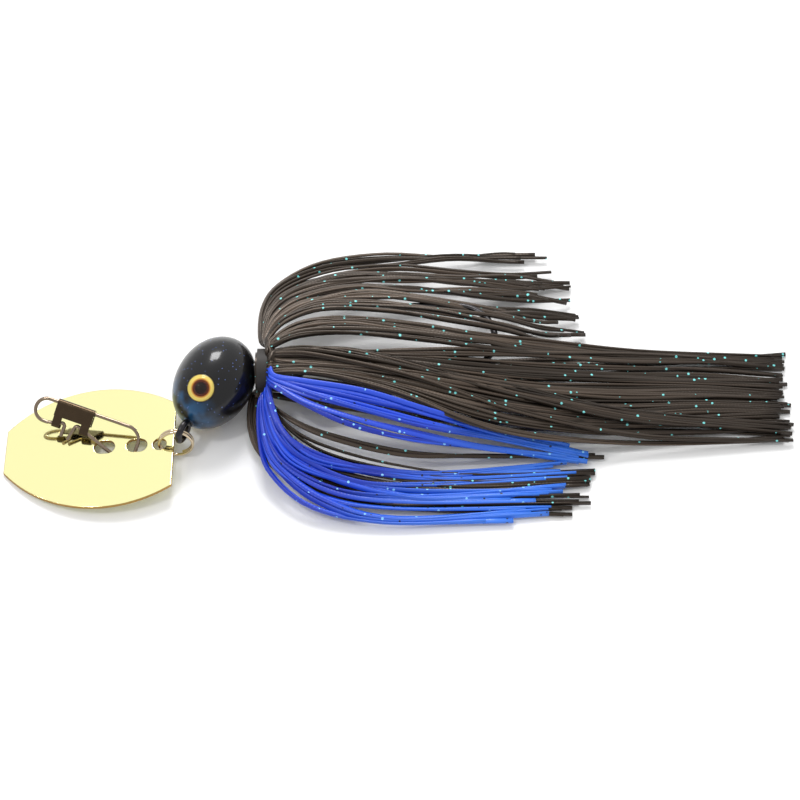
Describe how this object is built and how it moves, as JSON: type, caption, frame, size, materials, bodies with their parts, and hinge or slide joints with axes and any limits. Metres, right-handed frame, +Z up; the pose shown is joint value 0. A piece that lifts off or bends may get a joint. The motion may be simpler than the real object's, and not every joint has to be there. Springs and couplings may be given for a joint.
{
  "type": "bladed jig",
  "caption": "Skirted fishing lure lying on its side: weighted head with a moulded hook, silicone skirt, and a metal blade that wobbles on a split ring and carries the line snap.",
  "frame": {"origin": "centre of the footprint on the surface that the lure lies on", "axes": "+X from the blade to the skirt's tail, along the hook's shank; +Z up from the surface; the hook's point is on the +Y side"},
  "size_m": [0.1283, 0.0534, 0.0127],
  "materials": {
    "blade_gold": "mirror-polished pale gold plate",
    "nickel_ring": "bright nickel wire",
    "snap_steel": "bright black-nickel wire",
    "clasp_steel": "dark nickel sheet, worn bright at the folds",
    "hook_steel": "black nickel",
    "head_paint": "gloss black powder coat with fine blue flake",
    "iris_foil": "printed foil, gold with a dark pupil",
    "eye_resin": "clear domed resin",
    "band_rubber": "matt black rubber",
    "skirt_black": "satin black silicone with sparse teal flake",
    "skirt_blue": "satin royal blue silicone with black flake"
  },
  "bodies": {
    "head": {"hook": "hook_steel", "jig_head": "head_paint", "left_eye_iris": "iris_foil", "right_eye_iris": "iris_foil", "left_eye_dome": "eye_resin", "right_eye_dome": "eye_resin", "strand_core": "skirt_black", "skirt_band": "band_rubber", "front_black_strands_outer": "skirt_black", "front_black_strands_inner": "skirt_black", "front_black_strands_under": "skirt_black", "tail_strands_side": "skirt_black", "tail_strands_over_hook": "skirt_black", "tail_strands_under_hook": "skirt_black", "front_blue_strands_upper": "skirt_blue", "front_blue_strands_lower": "skirt_blue"},
    "ring": {"split_ring": "nickel_ring"},
    "blade": {"blade": "blade_gold"},
    "snap": {"snap_wire": "snap_steel", "snap_clasp": "clasp_steel"}
  },
  "joints": [
    {"name": "ring_swing", "type": "hinge", "parent": "head", "child": "ring", "pos_m": [-0.0349, -0.01028, 0.00556], "axis": [-0.8949, 0.0775, 0.4394], "range_deg": [0, 80]},
    {"name": "blade_flap", "type": "hinge", "parent": "ring", "child": "blade", "pos_m": [-0.03874, -0.01078, 0.00274], "axis": [0, 1, 0], "range_deg": [-5, 30]},
    {"name": "snap_swing", "type": "hinge", "parent": "blade", "child": "snap", "pos_m": [-0.03874, -0.01078, 0.00274], "axis": [0.9954, 0, 0.0958], "range_deg": [0, 90]}
  ]
}
